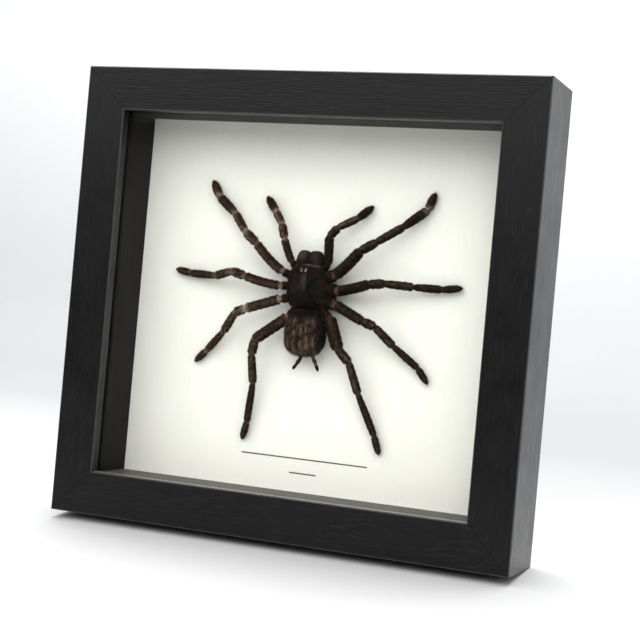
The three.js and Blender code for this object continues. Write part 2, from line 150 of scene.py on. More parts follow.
# ---- Nodes ----
class Nodes:
    """A tree of nodes, with short ways to add the ones that this script uses."""

    def __init__(self, tree):
        self.tree = tree

    def node(self, kind, inputs=(), **settings):
        made = self.tree.nodes.new("ShaderNode" + kind)
        for key, value in settings.items():
            setattr(made, key, value)
        for key, value in dict(inputs).items():
            self.feed(made.inputs[key], value)
        return made

    def feed(self, socket, value):
        if isinstance(value, bpy.types.NodeSocket):
            self.tree.links.new(value, socket)
        else:
            socket.default_value = value

    def place(self, stretch=(1, 1, 1)):
        """Object coordinates in metres, scaled along each axis."""
        where = self.node("TexCoord").outputs["Object"]
        return self.node("Mapping", {"Vector": where, "Scale": stretch}).outputs[0]

    def parts(self, vector):
        return self.node("SeparateXYZ", {"Vector": vector}).outputs

    def facing(self):
        """Which way the surface faces, along each axis."""
        return self.parts(self.node("TexCoord").outputs["Normal"])

    def noise(self, scale, stretch=(1, 1, 1), detail=4.0, roughness=0.55, distortion=0.0):
        inputs = {"Vector": self.place(stretch), "Scale": scale, "Detail": detail,
                  "Roughness": roughness, "Distortion": distortion}
        return self.node("TexNoise", inputs).outputs["Fac"]

    def remap(self, value, low, high, out_low=0.0, out_high=1.0):
        inputs = {"Value": value, "From Min": low, "From Max": high,
                  "To Min": out_low, "To Max": out_high}
        return self.node("MapRange", inputs, clamp=True).outputs[0]

    def maths(self, operation, *values):
        return self.node("Math", dict(enumerate(values)), operation=operation).outputs[0]

    def times(self, first, second):
        return self.maths("MULTIPLY", first, second)

    def mix(self, factor, first, second):
        """Mixes colours. One that is written as three numbers is an sRGB colour from 0 to 255."""
        first, second = (colour(*each) if isinstance(each, tuple) and len(each) == 3 else each
                         for each in (first, second))
        inputs = {0: factor, 6: first, 7: second}
        return self.node("Mix", inputs, data_type="RGBA").outputs[2]

    def attribute(self, name):
        return self.node("Attribute", attribute_name=name).outputs["Fac"]

    def bump(self, height, depth, strength=1.0, after=None):
        inputs = {"Height": height, "Distance": depth, "Strength": strength}
        if after is not None:
            inputs["Normal"] = after
        return self.node("Bump", inputs).outputs[0]


class Look(Nodes):
    """A material being made. numbers are set on its shader, and so are the sockets at the finish."""

    def __init__(self, name, **numbers):
        self.material = bpy.data.materials.new(name)
        self.material.use_nodes = True
        super().__init__(self.material.node_tree)
        self.shader = self.tree.nodes["Principled BSDF"]
        self.finish(**numbers)

    def finish(self, **sockets):
        for socket, value in sockets.items():
            self.feed(self.shader.inputs[socket.replace("_", " ")], value)
        return self.material


def colour(red, green, blue):
    """An sRGB colour from 0 to 255 as the linear colour that a socket takes."""
    def linear(value):
        value /= 255
        return value / 12.92 if value <= 0.04045 else ((value + 0.055) / 1.055) ** 2.4
    return (linear(red), linear(green), linear(blue), 1.0)


# ---- Materials of the frame ----
# Where the painted sheen of the frame's outer sides starts.
SIDE_SHEEN_BAND = (0.1245, 0.1248)
FRAME_MIDDLE_Z = 0.5 * (cad_box[0][2] + cad_box[1][2])
# Depths in front of which the spacer is painted black, as shade in the gap behind the lip.
SPACER_SHADE_DEPTHS = (-0.0096, -0.0088)
FACES_UP = (0.8, 0.95)


def black_wood(name, across):
    """Black stained wood, with a painted highlight along its arrises, a painted grey sheen on its outer
    sides, and dust with painted top light on faces that look up, most along the inner ledge. across
    holds how tightly the grain is drawn along each axis."""
    look = Look(name, Specular_IOR_Level=0.26)
    fine = look.noise(900, across, detail=5.0, roughness=0.6)
    broad = look.noise(160, across, detail=3.0)
    pores = look.remap(look.noise(1500, across, detail=2.0), 0.56, 0.72)
    mottle = look.noise(60, detail=3.0)
    shade = look.mix(broad, (2, 2, 3), (9, 9, 9))
    shade = look.mix(look.times(pores, 0.6), shade, (34, 33, 32))
    x, y, z = look.facing()
    flat = look.maths("MAXIMUM", look.maths("ABSOLUTE", x), look.maths("ABSOLUTE", z))
    # Painted highlight: the chamfered arrises are painted paler.
    corner = look.remap(look.times(look.maths("ABSOLUTE", y), flat), 0.3, 0.45, 0.0, 0.5)
    shade = look.mix(corner, shade, (84, 84, 85))
    cloud = look.remap(look.noise(420, (1.0, 1.0, 0.3), detail=4.0, roughness=0.6), 0.35, 0.65, 0.6, 1.0)
    at_x, _, at_z = look.parts(look.place())
    # Painted sheen: the outer sides are painted grey, mottled by cloud.
    outer = look.remap(look.maths("ABSOLUTE", at_x), *SIDE_SHEEN_BAND, 0.0, 0.8)
    shade = look.mix(look.times(outer, cloud), shade, (80, 81, 83))
    # Dust with painted top light: faces that look up are paler, most on the inner ledge.
    sideways = look.times(at_x, x)
    upright = look.times(look.maths("SUBTRACT", at_z, FRAME_MIDDLE_Z), z)
    inner = look.remap(look.maths("ADD", sideways, upright), -0.05, -0.04, 1.0, 0.0)
    dust_and_top_light = look.times(look.remap(z, *FACES_UP), look.remap(inner, 0.0, 1.0, 0.12, 0.85))
    shade = look.mix(look.times(dust_and_top_light, cloud), shade, (140, 134, 123))
    rough = look.remap(look.maths("ADD", mottle, fine), 0.6, 1.4, 0.26, 0.44)
    grain = look.bump(fine, 0.00014, 0.8)
    grain = look.bump(pores, 0.00008, 0.7, after=grain)
    return look.finish(Base_Color=shade, Roughness=rough, Normal=grain)


def spacer_wood(name, across):
    """Black wood, with dust and painted top light where it faces up, and painted black as shade next to
    the glass.
    """
    look = Look(name, Specular_IOR_Level=0.1)
    fine = look.noise(1100, across, detail=4.0)
    shade = look.mix(fine, (12, 11, 10), (29, 27, 24))
    # Dust with painted top light where the spacer faces up.
    dust_and_top_light = look.remap(look.facing()[2], *FACES_UP, 0.0, 0.75)
    shade = look.mix(look.times(dust_and_top_light, look.remap(fine, 0.3, 0.6, 0.5, 1.0)), shade,
                     (112, 109, 103))
    # Painted shade: the spacer's front, in the gap behind the lip, is black.
    depth = look.parts(look.place())[1]
    shade = look.mix(look.remap(depth, *SPACER_SHADE_DEPTHS, 1.0, 0.0), shade, (1, 1, 1))
    rough = look.remap(fine, 0.3, 0.7, 0.45, 0.65)
    return look.finish(Base_Color=shade, Roughness=rough, Normal=look.bump(fine, 0.00008, 0.6))


def picture_glass():
    """Clear glass that mirrors less than real glass does. Lamps shine straight through it, so that what
    is behind it is lit."""
    look = Look("picture_glass", Base_Color=colour(254, 254, 253), Roughness=0.0, IOR=1.12,
                Transmission_Weight=1.0)
    path = look.node("LightPath").outputs["Is Shadow Ray"]
    clear = look.node("BsdfTransparent", {"Color": (0.985, 0.98, 0.97, 1.0)}).outputs[0]
    both = look.node("MixShader", {0: path, 1: look.shader.outputs[0], 2: clear}).outputs[0]
    look.feed(look.tree.nodes["Material Output"].inputs["Surface"], both)
    return look.material


def white_card():
    look = Look("white_card", Roughness=0.9, Specular_IOR_Level=0.2)
    cloud = look.noise(45, detail=5.0, roughness=0.65)
    fibre = look.noise(700, (1.0, 1.0, 0.22), detail=6.0, roughness=0.7, distortion=0.6)
    shade = look.mix(cloud, (242, 243, 235), (247, 248, 241))
    shade = look.mix(look.remap(fibre, 0.35, 0.6, 0.25, 0.0), shade, (231, 228, 219))
    return look.finish(Base_Color=shade, Normal=look.bump(fibre, 0.0002, 0.5))


def hardboard():
    look = Look("hardboard", Roughness=0.75, Specular_IOR_Level=0.3)
    fleck = look.noise(900, detail=6.0, roughness=0.75)
    cloud = look.noise(30, detail=4.0)
    strands = look.noise(320, (1.0, 1.0, 3.0), detail=5.0, distortion=1.5)
    shade = look.mix(cloud, (118, 84, 52), (142, 104, 67))
    shade = look.mix(look.remap(fleck, 0.45, 0.7, 0.0, 0.7), shade, (86, 58, 35))
    shade = look.mix(look.remap(strands, 0.55, 0.75, 0.0, 0.5), shade, (168, 132, 92))
    return look.finish(Base_Color=shade, Normal=look.bump(fleck, 0.00015, 0.7))


def metal(name, tint, rough_low, rough_high):
    look = Look(name, Metallic=1.0)
    brush = look.noise(900, (0.08, 1.0, 1.0), detail=4.0)
    stain = look.noise(260, detail=4.0)
    darker = tuple(0.7 * part for part in tint[:3]) + (1.0,)
    shade = look.mix(look.remap(stain, 0.45, 0.75), tint, darker)
    rough = look.remap(brush, 0.3, 0.7, rough_low, rough_high)
    return look.finish(Base_Color=shade, Roughness=rough, Normal=look.bump(brush, 0.00003, 0.5))


def printing_ink():
    look = Look("printing_ink", Roughness=0.7)
    speck = look.noise(2500, detail=2.0)
    return look.finish(Base_Color=look.mix(speck, (48, 48, 48), (92, 91, 89)))


# ---- Materials of the spider ----
ALONG_THE_ABDOMEN = (1.0, 1.0, 0.14)


def limb_skin():
    """Dark brown, a little redder towards the feet, and paler in its furrows."""
    look = Look("limb_skin", Roughness=0.6, Specular_IOR_Level=0.06)
    blotch = look.noise(620, detail=4.0, roughness=0.65)
    speck = look.noise(2600, detail=3.0)
    out = look.attribute("along")
    brown = look.mix(look.remap(out, 0.6, 0.75), (44, 28, 17), (40, 22, 12))
    brown = look.mix(look.remap(blotch, 0.4, 0.6, 0.0, 0.8), brown, (14, 8, 5))
    brown = look.mix(look.times(look.attribute("furrow"), 0.6), brown, (66, 44, 32))
    brown = limb_marks(look, brown)
    rough = look.remap(speck, 0.3, 0.7, 0.5, 0.75)
    return look.finish(Base_Color=brown, Roughness=rough, Normal=look.bump(speck, 0.00012, 0.7))


def limb_marks(look, shade):
    """What a limb's skin and hair share: dark bands, worn pale streaks and joints, a black root that is
    partly painted shade beside the body, a tan hip and bleached joints."""
    worn = look.remap(look.noise(760, detail=5.0, roughness=0.7, distortion=0.6), 0.43, 0.57)
    pale = look.maths("MAXIMUM", look.attribute("streak"), look.attribute("joint"))
    shade = look.mix(look.times(look.attribute("bands"), 0.7), shade, (8, 4, 2))
    shade = look.mix(look.times(worn, pale), shade, (152, 130, 110))
    shade = look.mix(look.attribute("dark"), shade, (9, 4, 2))
    # Darker at the root: the coxa's own darker tone, with painted shade where the carapace shades it.
    shade = look.mix(look.attribute("root"), shade, (24, 15, 10))
    patch = look.remap(look.noise(1100, detail=3.0, distortion=0.8), 0.44, 0.56, 0.1, 1.0)
    hip = look.attribute("hip")
    tan = look.mix(look.remap(hip, 0.4, 0.85), (84, 52, 38), (146, 124, 104))
    shade = look.mix(look.times(look.remap(hip, 0.0, 0.5), patch), shade, tan)
    bleached = look.remap(look.noise(800, detail=4.0, roughness=0.7), 0.46, 0.54)
    bleached = look.times(look.attribute("bleached"), bleached)
    return look.mix(bleached, shade, (158, 145, 130))


def carapace_skin():
    """Near black, with dark red and slate patches and a paler line from the eyes to the pit, and painted
    shade in its grooves and pit.
    """
    look = Look("carapace_skin", Specular_IOR_Level=0.09)
    blotch = look.noise(260, detail=5.0, roughness=0.6)
    crease = look.noise(520, detail=6.0, roughness=0.7, distortion=0.9)
    red = look.remap(look.noise(190, detail=3.0, distortion=0.5), 0.48, 0.62)
    shade = look.mix(look.remap(blotch, 0.35, 0.65), (4, 3, 2), (12, 8, 7))
    shade = look.mix(look.times(red, 0.6), shade, (38, 10, 8))
    shade = look.mix(look.remap(crease, 0.53, 0.66, 0.0, 0.6), shade, (44, 36, 32))
    slate = look.times(look.attribute("ridge"), look.remap(crease, 0.4, 0.6, 0.3, 0.9))
    shade = look.mix(slate, shade, (84, 74, 76))
    # Painted shade: darker in the grooves, and darkest and reddish in the pit.
    shade = look.mix(look.times(look.attribute("groove"), 0.7), shade, (5, 3, 3))
    shade = look.mix(look.times(look.attribute("pit"), 0.8), shade, (8, 2, 2))
    rough = look.remap(blotch, 0.3, 0.7, 0.42, 0.66)
    return look.finish(Base_Color=shade, Roughness=rough, Normal=look.bump(crease, 0.0006, 0.8))


def abdomen_skin():
    """Dull brown, with thin pale lines down the folds, dark at the front, and with painted shade on its
    right side and in its furrows.
    """
    look = Look("abdomen_skin", Roughness=0.8, Specular_IOR_Level=0.1)
    blotch = look.noise(330, detail=5.0, roughness=0.65)
    shade = look.mix(look.remap(blotch, 0.38, 0.62), (20, 14, 11), (66, 51, 40))
    shade = abdomen_marks(look, shade)
    # Painted shade in the furrows and along the crease.
    shade = look.mix(look.attribute("furrow"), shade, (8, 5, 4))
    return look.finish(Base_Color=shade, Normal=look.bump(blotch, 0.0004, 0.8))


def abdomen_marks(look, shade):
    """What the skin and the hair of the abdomen share: pale and red streaks, and its dark places: a dark
    front, and painted shade on its right side and in its furrows.
    """
    streak = look.noise(620, ALONG_THE_ABDOMEN, detail=4.0, roughness=0.6)
    red = look.noise(400, ALONG_THE_ABDOMEN, detail=3.0, roughness=0.6, distortion=0.3)
    blotch = look.noise(430, detail=4.0, roughness=0.6, distortion=0.5)
    shade = look.mix(look.remap(red, 0.52, 0.64, 0.0, 0.4), shade, (66, 40, 30))
    shade = look.mix(look.remap(streak, 0.56, 0.68, 0.0, 0.5), shade, (110, 98, 84))
    shade = look.mix(look.remap(blotch, 0.5, 0.62, 0.0, 0.5), shade, (15, 10, 8))
    broken = look.remap(look.noise(300, detail=2.0), 0.42, 0.52)
    shade = look.mix(look.times(look.attribute("line"), broken), shade, (150, 132, 112))
    # Darker at the front, with painted shade on the right side and in the furrows.
    return look.mix(look.attribute("dark"), shade, (13, 9, 8))


def chelicera_skin():
    look = Look("chelicera_skin", Roughness=0.6, Specular_IOR_Level=0.12)
    blotch = look.noise(400, detail=4.0)
    shade = look.mix(blotch, (17, 13, 11), (33, 25, 21))
    # Painted highlight in an olive brown on the top of the jaw.
    shade = look.mix(look.times(look.attribute("crown_highlight"), 0.8), shade, (88, 74, 56))
    return look.finish(Base_Color=shade, Normal=look.bump(blotch, 0.0001, 0.6))


def hair(name, tones, marks=None):
    """Hairs of a few tones. Each runs from a dark colour to a light one over the body, and has the
    marks of the skin below."""
    made = []
    for tone, (dark, light) in tones.items():
        look = Look(f"{name}_{tone}", Roughness=0.6, Specular_IOR_Level=0.04)
        patches = look.remap(look.noise(650, detail=4.0, roughness=0.65), 0.43, 0.57)
        shade = look.mix(patches, dark, light)
        made.append(look.finish(Base_Color=marks(look, shade) if marks else shade))
    return made


# The jaws' painted highlight, on their hair as well.
def crown_marks(look, shade):
    return look.mix(look.times(look.attribute("crown_highlight"), 0.6), shade, (98, 84, 64))


def eye_lens(name, low, high):
    look = Look(name, Roughness=0.15, IOR=1.5, Coat_Weight=1.0, Coat_Roughness=0.05)
    return look.finish(Base_Color=look.mix(look.noise(1800, detail=1.0), low, high))


# ---- Mesh helpers ----
def row_points(places):
    """Places as (x, z, rise) in millimetres, turned into points of the row in metres."""
    places = np.asarray(places, float)
    x, z, rise = places[..., 0], places[..., 1], places[..., 2]
    return np.stack([x * MM, CARD_Y - rise * MM, z * MM], axis=-1)


def unit(vectors):
    length = np.linalg.norm(vectors, axis=-1, keepdims=True)
    return vectors / np.maximum(length, 1e-12)


def add_piece(name, points, faces, materials, smooth=True):
    mesh = bpy.data.meshes.new(name)
    mesh.from_pydata(points.tolist(), [], faces)
    mesh.polygons.foreach_set("use_smooth", [smooth] * len(mesh.polygons))
    for each in materials:
        mesh.materials.append(each)
    piece = bpy.data.objects.new(name, mesh)
    bpy.context.collection.objects.link(piece)
    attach(piece, "root")
    return piece


def mark(piece, numbers):
    """Gives each point of the mesh the numbers that its material reads."""
    for name, values in numbers.items():
        layer = piece.data.attributes.new(name, "FLOAT", "POINT")
        layer.data.foreach_set("value", np.asarray(values, np.float32).ravel())


def ring_faces(rings, sides):
    """Quads between rings of points, and fans to a first and a last point at the two ends."""
    faces = []
    last = rings * sides + 1
    for side in range(sides):
        after = (side + 1) % sides
        faces.append((0, 1 + side, 1 + after))
        faces.append((last, last - sides + after, last - sides + side))
        for ring in range(rings - 1):
            near = 1 + ring * sides
            far = near + sides
            faces.append((near + side, far + side, far + after, near + after))
    return faces


HAIR_POINTS = 5
HAIR_STRAY = 0.22
HAIR_LENGTHS = (0.55, 1.25)
LONG_HAIR = 2.2
ROOT_DEPTH = 0.00005


def blades(roots, normals, lay, lengths, width, lift, droop, rng):
    """Tapered hairs with one bend each, as points and faces. lay is the way that they lie."""
    count = len(roots)
    stray = rng.normal(0.0, HAIR_STRAY, (count, 3))
    start = unit(lay * np.cos(lift)[:, None] + normals * np.sin(lift)[:, None] + stray)
    end = unit(start + droop * lay - 0.5 * droop * normals)
    side = unit(np.cross(start, normals) + 0.15 * stray) * width
    middle = roots + start * (0.5 * lengths)[:, None]
    tip = middle + end * (0.5 * lengths)[:, None]
    corners = [roots - side, roots + side, middle + 0.7 * side, middle - 0.7 * side, tip]
    points = np.stack(corners, axis=1)
    first = HAIR_POINTS * np.arange(count)[:, None]
    quads = first + np.array([0, 1, 2, 3])
    tips = first + np.array([3, 2, 4])
    return points.reshape(-1, 3), quads.tolist() + tips.tolist()


def triples(rows, key, kind=np.float32):
    """Reads three numbers from each of a mesh's points or triangles."""
    values = np.empty(len(rows) * 3, kind)
    rows.foreach_get(key, values)
    return values.reshape(-1, 3)


def scatter(piece, count, rng, weight=None):
    """Random places on a mesh: points, normals, and the numbers of the triangle's corners with their
    shares. weight, per point, says how thickly the places fall."""
    mesh = piece.data
    mesh.calc_loop_triangles()
    corners = triples(mesh.loop_triangles, "vertices", np.int32)
    points = triples(mesh.vertices, "co").astype(float)
    normals = triples(mesh.vertices, "normal").astype(float)
    a, b, c = (points[corners[:, i]] for i in range(3))
    area = np.linalg.norm(np.cross(b - a, c - a), axis=1)
    if weight is not None:
        area = area * np.asarray(weight)[corners].mean(axis=1)
    chosen = rng.choice(len(corners), count, p=area / area.sum())
    u, v = rng.random(count), rng.random(count)
    over = u + v > 1
    u[over], v[over] = 1 - u[over], 1 - v[over]
    shares = np.stack([1 - u - v, u, v], axis=1)
    at = corners[chosen]
    return spread(points, at, shares), unit(spread(normals, at, shares)), at, shares


def spread(values, at, shares):
    """Per-point values at scattered places."""
    values = np.asarray(values)
    if values.ndim == 1:
        return (values[at] * shares).sum(axis=1)
    return (values[at] * shares[:, :, None]).sum(axis=1)


def fur(name, piece, lay, count, length, width, materials, seed, lift=(0.35, 0.9), droop=0.4,
        weight=None, long_hairs=0.0, carried=()):
    """Hair over a piece, as its own piece. Its length and width are in millimetres. lay gives the way
    it lies at each point of the mesh, long_hairs is the share of longer ones, and carried holds numbers
    of the piece's points that the hair's material reads too."""
    rng = np.random.default_rng(seed)
    place, normal, at, shares = scatter(piece, count, rng, weight)
    way = unit(spread(lay, at, shares))
    way = unit(way - normal * (way * normal).sum(axis=1, keepdims=True))
    lengths = length * MM * rng.uniform(*HAIR_LENGTHS, count)
    lengths[rng.random(count) < long_hairs] *= LONG_HAIR
    tilt = rng.uniform(*lift, count)
    roots = place - ROOT_DEPTH * normal
    points, faces = blades(roots, normal, way, lengths, width * MM, tilt, droop, rng)
    made = add_piece(name, points, faces, materials, smooth=False)
    pick = rng.integers(0, len(materials), count).astype(np.int32)
    made.data.polygons.foreach_set("material_index", np.concatenate([pick, pick]))
    mark(made, {key: np.repeat(spread(values, at, shares), HAIR_POINTS)
                for key, values in dict(carried).items()})
    return made


# ---- Limbs ----
RING_STEP = 0.45
LIMB_SIDES = 28
JOINT_WIDTH = 0.7
JOINT_PINCH = 0.25
JOINT_MARK_WIDTH = 0.9
JOINT_MARK = 0.95
CORNER_ROUNDING = 0.65
TIP_LENGTH = 1.5
FURROW_TURNS = (-0.5, 0.5)
FURROW_WIDTH = 0.2
FURROW_DEPTH = 0.1
LUMP_PITCH = 1.9
LUMP_HEIGHT = 0.05
BANDS = 6
HIP_REACH = 1.35
BLEACHED_REACH = 1.6
MARKS = ("streak", "joint", "bands", "dark", "root", "hip", "bleached")
STREAK_WIDTH = 0.55
STREAK_LEAN = 0.2


def limb_radii(limb, radii):
    """The radii of each segment, with the coxa, the femur and the last two segments scaled."""
    scale = np.ones(len(radii))
    scale[0] = limb.get("coxa", 1)
    scale[1] = limb.get("thigh", 1)
    scale[-2:] *= limb.get("foot", 1)
    return np.array(radii) * scale[:, None]


def limb_shape(limb, radii, streaks, sides=LIMB_SIDES, furrowed=True):
    """A limb through its joints: points, faces, the points' numbers, and which way its hair lies."""
    joints = np.asarray(limb["joints"], float)
    radii = limb_radii(limb, radii)
    steps = np.linalg.norm(np.diff(joints, axis=0), axis=1)
    starts = np.concatenate([[0.0], np.cumsum(steps)])
    total = starts[-1]
    reach = np.arange(0.0, total, RING_STEP)
    segment = np.clip(np.searchsorted(starts, reach, side="right") - 1, 0, len(steps) - 1)
    share = (reach - starts[segment]) / steps[segment]
    middle = np.stack([np.interp(reach, starts, joints[:, i]) for i in range(3)], axis=1)
    middle[:, 1] -= np.where(segment == 1, 4 * limb.get("bow", 0) * share * (1 - share), 0)
    middle = rounded(middle, CORNER_ROUNDING / RING_STEP)

    start, half, end = (radii[segment, i] for i in range(3))
    radius = (start * (1 - share) * (1 - 2 * share) + 4 * half * share * (1 - share)
              + end * share * (2 * share - 1))
    inner = starts[1:-1]
    nearest = np.abs(reach[:, None] - inner).min(axis=1)
    radius = radius * (1 - JOINT_PINCH * np.exp(-((nearest / JOINT_WIDTH) ** 2)))
    to_tip = np.clip((total - reach) / (TIP_LENGTH * radii[-1][1]), 0.0, 1.0)
    radius = radius * np.sqrt(1 - (1 - to_tip) ** 2 * 0.97)

    centre = row_points(middle)
    along = unit(np.gradient(centre, axis=0))
    across = unit(np.cross(along, TOWARDS_GLASS))
    up = np.cross(across, along)
    angle = 2 * math.pi * np.arange(sides) / sides
    body = np.sin(math.pi * share) ** 0.5 if furrowed else np.zeros_like(share)
    body = body * (segment >= 1) * (segment < len(steps) - 1)
    dip = sum(np.exp(-(((angle - math.pi / 2 - turn) / FURROW_WIDTH) ** 2)) for turn in FURROW_TURNS)
    furrow = body[:, None] * dip[None, :]
    phase = joints[2, 0]
    along_turn = reach[:, None] * LUMP_PITCH + phase
    lumps = np.sin(along_turn + 1.5 * np.sin(angle)) + 0.7 * np.sin(2.3 * along_turn + 2 * np.cos(angle))
    size = radius[:, None] * MM * (1 - FURROW_DEPTH * furrow) * (1 + LUMP_HEIGHT * lumps)
    bands = 0.5 + 0.5 * np.sin(BANDS * angle + phase + 1.6 * np.sin(0.45 * reach[:, None] + phase))
    circle = across[:, None] * np.cos(angle)[None, :, None] + up[:, None] * np.sin(angle)[None, :, None]
    points = centre[:, None] + circle * size[:, :, None]

    def whole(values):
        """A number for every point: one per ring, or one per point of each ring, plus the two ends."""
        values = values if values.ndim == 2 else np.repeat(values[:, None], sides, axis=1)
        return np.concatenate([[values[0].mean()], values.ravel(), [values[-1].mean()]])

    end_point = row_points(joints[-1:])
    points = np.concatenate([centre[:1], points.reshape(-1, 3), end_point])
    upper = np.clip(np.sin(angle) + 0.5, 0, 1)[None, :]
    hip = limb.get("hip", 0) * np.exp(-(((reach - starts[1] - limb.get("hip_out", 0)) / HIP_REACH) ** 4))
    ring = np.exp(-((nearest / JOINT_MARK_WIDTH) ** 2)) * (segment >= 1) * (reach > starts[1] + 3)
    streak = np.array(streaks)[segment] * (0.4 + 0.6 * np.abs(2 * share - 1))
    streak *= np.sin(math.pi * share) ** 0.3
    on_top = np.exp(-(((angle - math.pi / 2 - STREAK_LEAN) / STREAK_WIDTH) ** 2))[None, :]
    bleached = np.zeros(len(reach))
    for joint_number, strength in limb.get("bleached", {}).items():
        bleached += strength * np.exp(-(((reach - starts[joint_number]) / BLEACHED_REACH) ** 2))
    outward = (segment + share) / len(steps)
    dark = limb.get("dark", 0)
    numbers = {
        "along": whole(outward),
        "joint": whole(JOINT_MARK * (1 - dark) ** 2 * ring[:, None] * upper),
        "dark": whole(np.clip(dark * (1.45 - 0.85 * outward), 0, 1)),
        "furrow": whole(furrow),
        "bands": whole(bands ** 2),
        "hip": whole(hip[:, None] * np.clip(1.5 * np.sin(angle) - 0.2, 0, 1)[None, :]),
        "streak": whole(streak[:, None] * on_top),
        "bleached": whole(bleached),
        # The root: the coxa's own darker tone, with painted shade beside the body.
        "root": whole(np.clip((starts[1] - 0.8 - reach) / 1.2, 0, 1)),
    }
    lay = np.repeat(along[:, None], sides, axis=1).reshape(-1, 3)
    lay = np.concatenate([along[:1], lay, along[-1:]])
    return points, ring_faces(len(reach), sides), numbers, lay


def rounded(line, spread_steps):
    """Rounds a line's corners, leaving its two ends in place."""
    reach = int(3 * spread_steps)
    kernel = np.exp(-0.5 * (np.arange(-reach, reach + 1) / spread_steps) ** 2)
    kernel /= kernel.sum()
    before = line[0] - (line[reach:0:-1] - line[0])
    after = line[-1] - (line[-2:-reach - 2:-1] - line[-1])
    padded = np.concatenate([before, line, after])
    return np.stack([np.convolve(padded[:, i], kernel, "valid") for i in range(3)], axis=1)


def make_limb(name, limb, radii, streaks, looks, seed, hairs):
    points, faces, numbers, lay = limb_shape(limb, radii, streaks)
    piece = add_piece(name + "_skin", points, faces, [looks["limb_skin"]])
    mark(piece, numbers)
    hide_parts(name)
    bare = 1 - 0.8 * np.maximum(numbers["hip"], 0.7 * numbers["furrow"])
    carried = {key: numbers[key] for key in MARKS}
    fur(name + "_hair", piece, lay, hairs, 0.95, 0.032, looks["limb_hair"], seed, weight=bare,
        long_hairs=0.1, carried=carried)
    foot = np.clip((numbers["along"] - 1 + 1.6 / len(radii)) * len(radii), 0.0, 1.0)
    fur(name + "_pad", piece, lay, hairs // 3, 0.6, 0.035, looks["limb_pad"], seed + 100,
        lift=(0.5, 1.1), weight=foot + 1e-4, carried=carried)


def make_spinneret(name, limb, looks, seed):
    points, faces, numbers, lay = limb_shape(limb, SPINNERET_RADII, SPINNERET_STREAKS, sides=16,
                                             furrowed=False)
    piece = add_piece(name + "_skin", points, faces, [looks["limb_skin"]])
    mark(piece, numbers)
    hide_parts(name)
    carried = {key: numbers[key] for key in MARKS}
    fur(name + "_hair", piece, lay, 700, 0.5, 0.03, looks["limb_hair"][:1], seed,
        carried=carried)


# ---- Rounded bodies ----
def squared_oval(angle, half_width, half_length, squareness, narrow=lambda z: 1.0):
    """An oval whose corners fill out as squareness goes up from 2. narrow(z) scales its width, where z
    runs from -1 at the rear end to 1 at the front end."""
    x = np.sign(np.cos(angle)) * np.abs(np.cos(angle)) ** (2 / squareness)
    z = np.sign(np.sin(angle)) * np.abs(np.sin(angle)) ** (2 / squareness)
    return half_width * x * narrow(z), half_length * z


def pebble(outline, up, down, rings, sides, flatness=1.0):
    """A rounded body in millimetres, as (x, z, rise) on a grid of rings and sides, with its two poles.
    A flatness under 1, which may differ from side to side, makes the top flatter and the sides
    steeper."""
    polar = np.pi * np.arange(1, rings) / rings
    angle = 2 * np.pi * np.arange(sides) / sides
    x, z = outline(angle)
    flatness = np.broadcast_to(flatness, (1, sides))
    share = np.sin(polar)[:, None] ** flatness
    reach = np.where(polar < np.pi / 2, up, -down)
    height = reach[:, None] * np.abs(np.cos(polar))[:, None] ** flatness
    grid = np.stack([x * share, z * share, height], axis=-1)
    poles = np.array([[0, 0, up], [0, 0, -down]], float)
    points = np.concatenate([poles[:1], grid.reshape(-1, 3), poles[1:]])
    return points, ring_faces(rings - 1, sides)


def bell(x, z, at, spread_x, spread_z):
    return np.exp(-(((x - at[0]) / spread_x) ** 2) - (((z - at[1]) / spread_z) ** 2))


def carapace_outline(angle):
    squareness = np.where(np.sin(angle) > 0, HEAD_SQUARENESS, TAIL_SQUARENESS)
    return squared_oval(angle, CARAPACE["half_width"], CARAPACE["half_length"], squareness,
                        lambda z: 1 - HEAD_NARROWING * np.maximum(z, 0) ** 2)


# Grooves that run out from the pit: degrees forward of straight out, and depth. The width is in mm.
GROOVES = ((58, 1.0), (20, 0.5), (-14, 0.6), (-46, 0.5))
GROOVE_WIDTH = 0.8


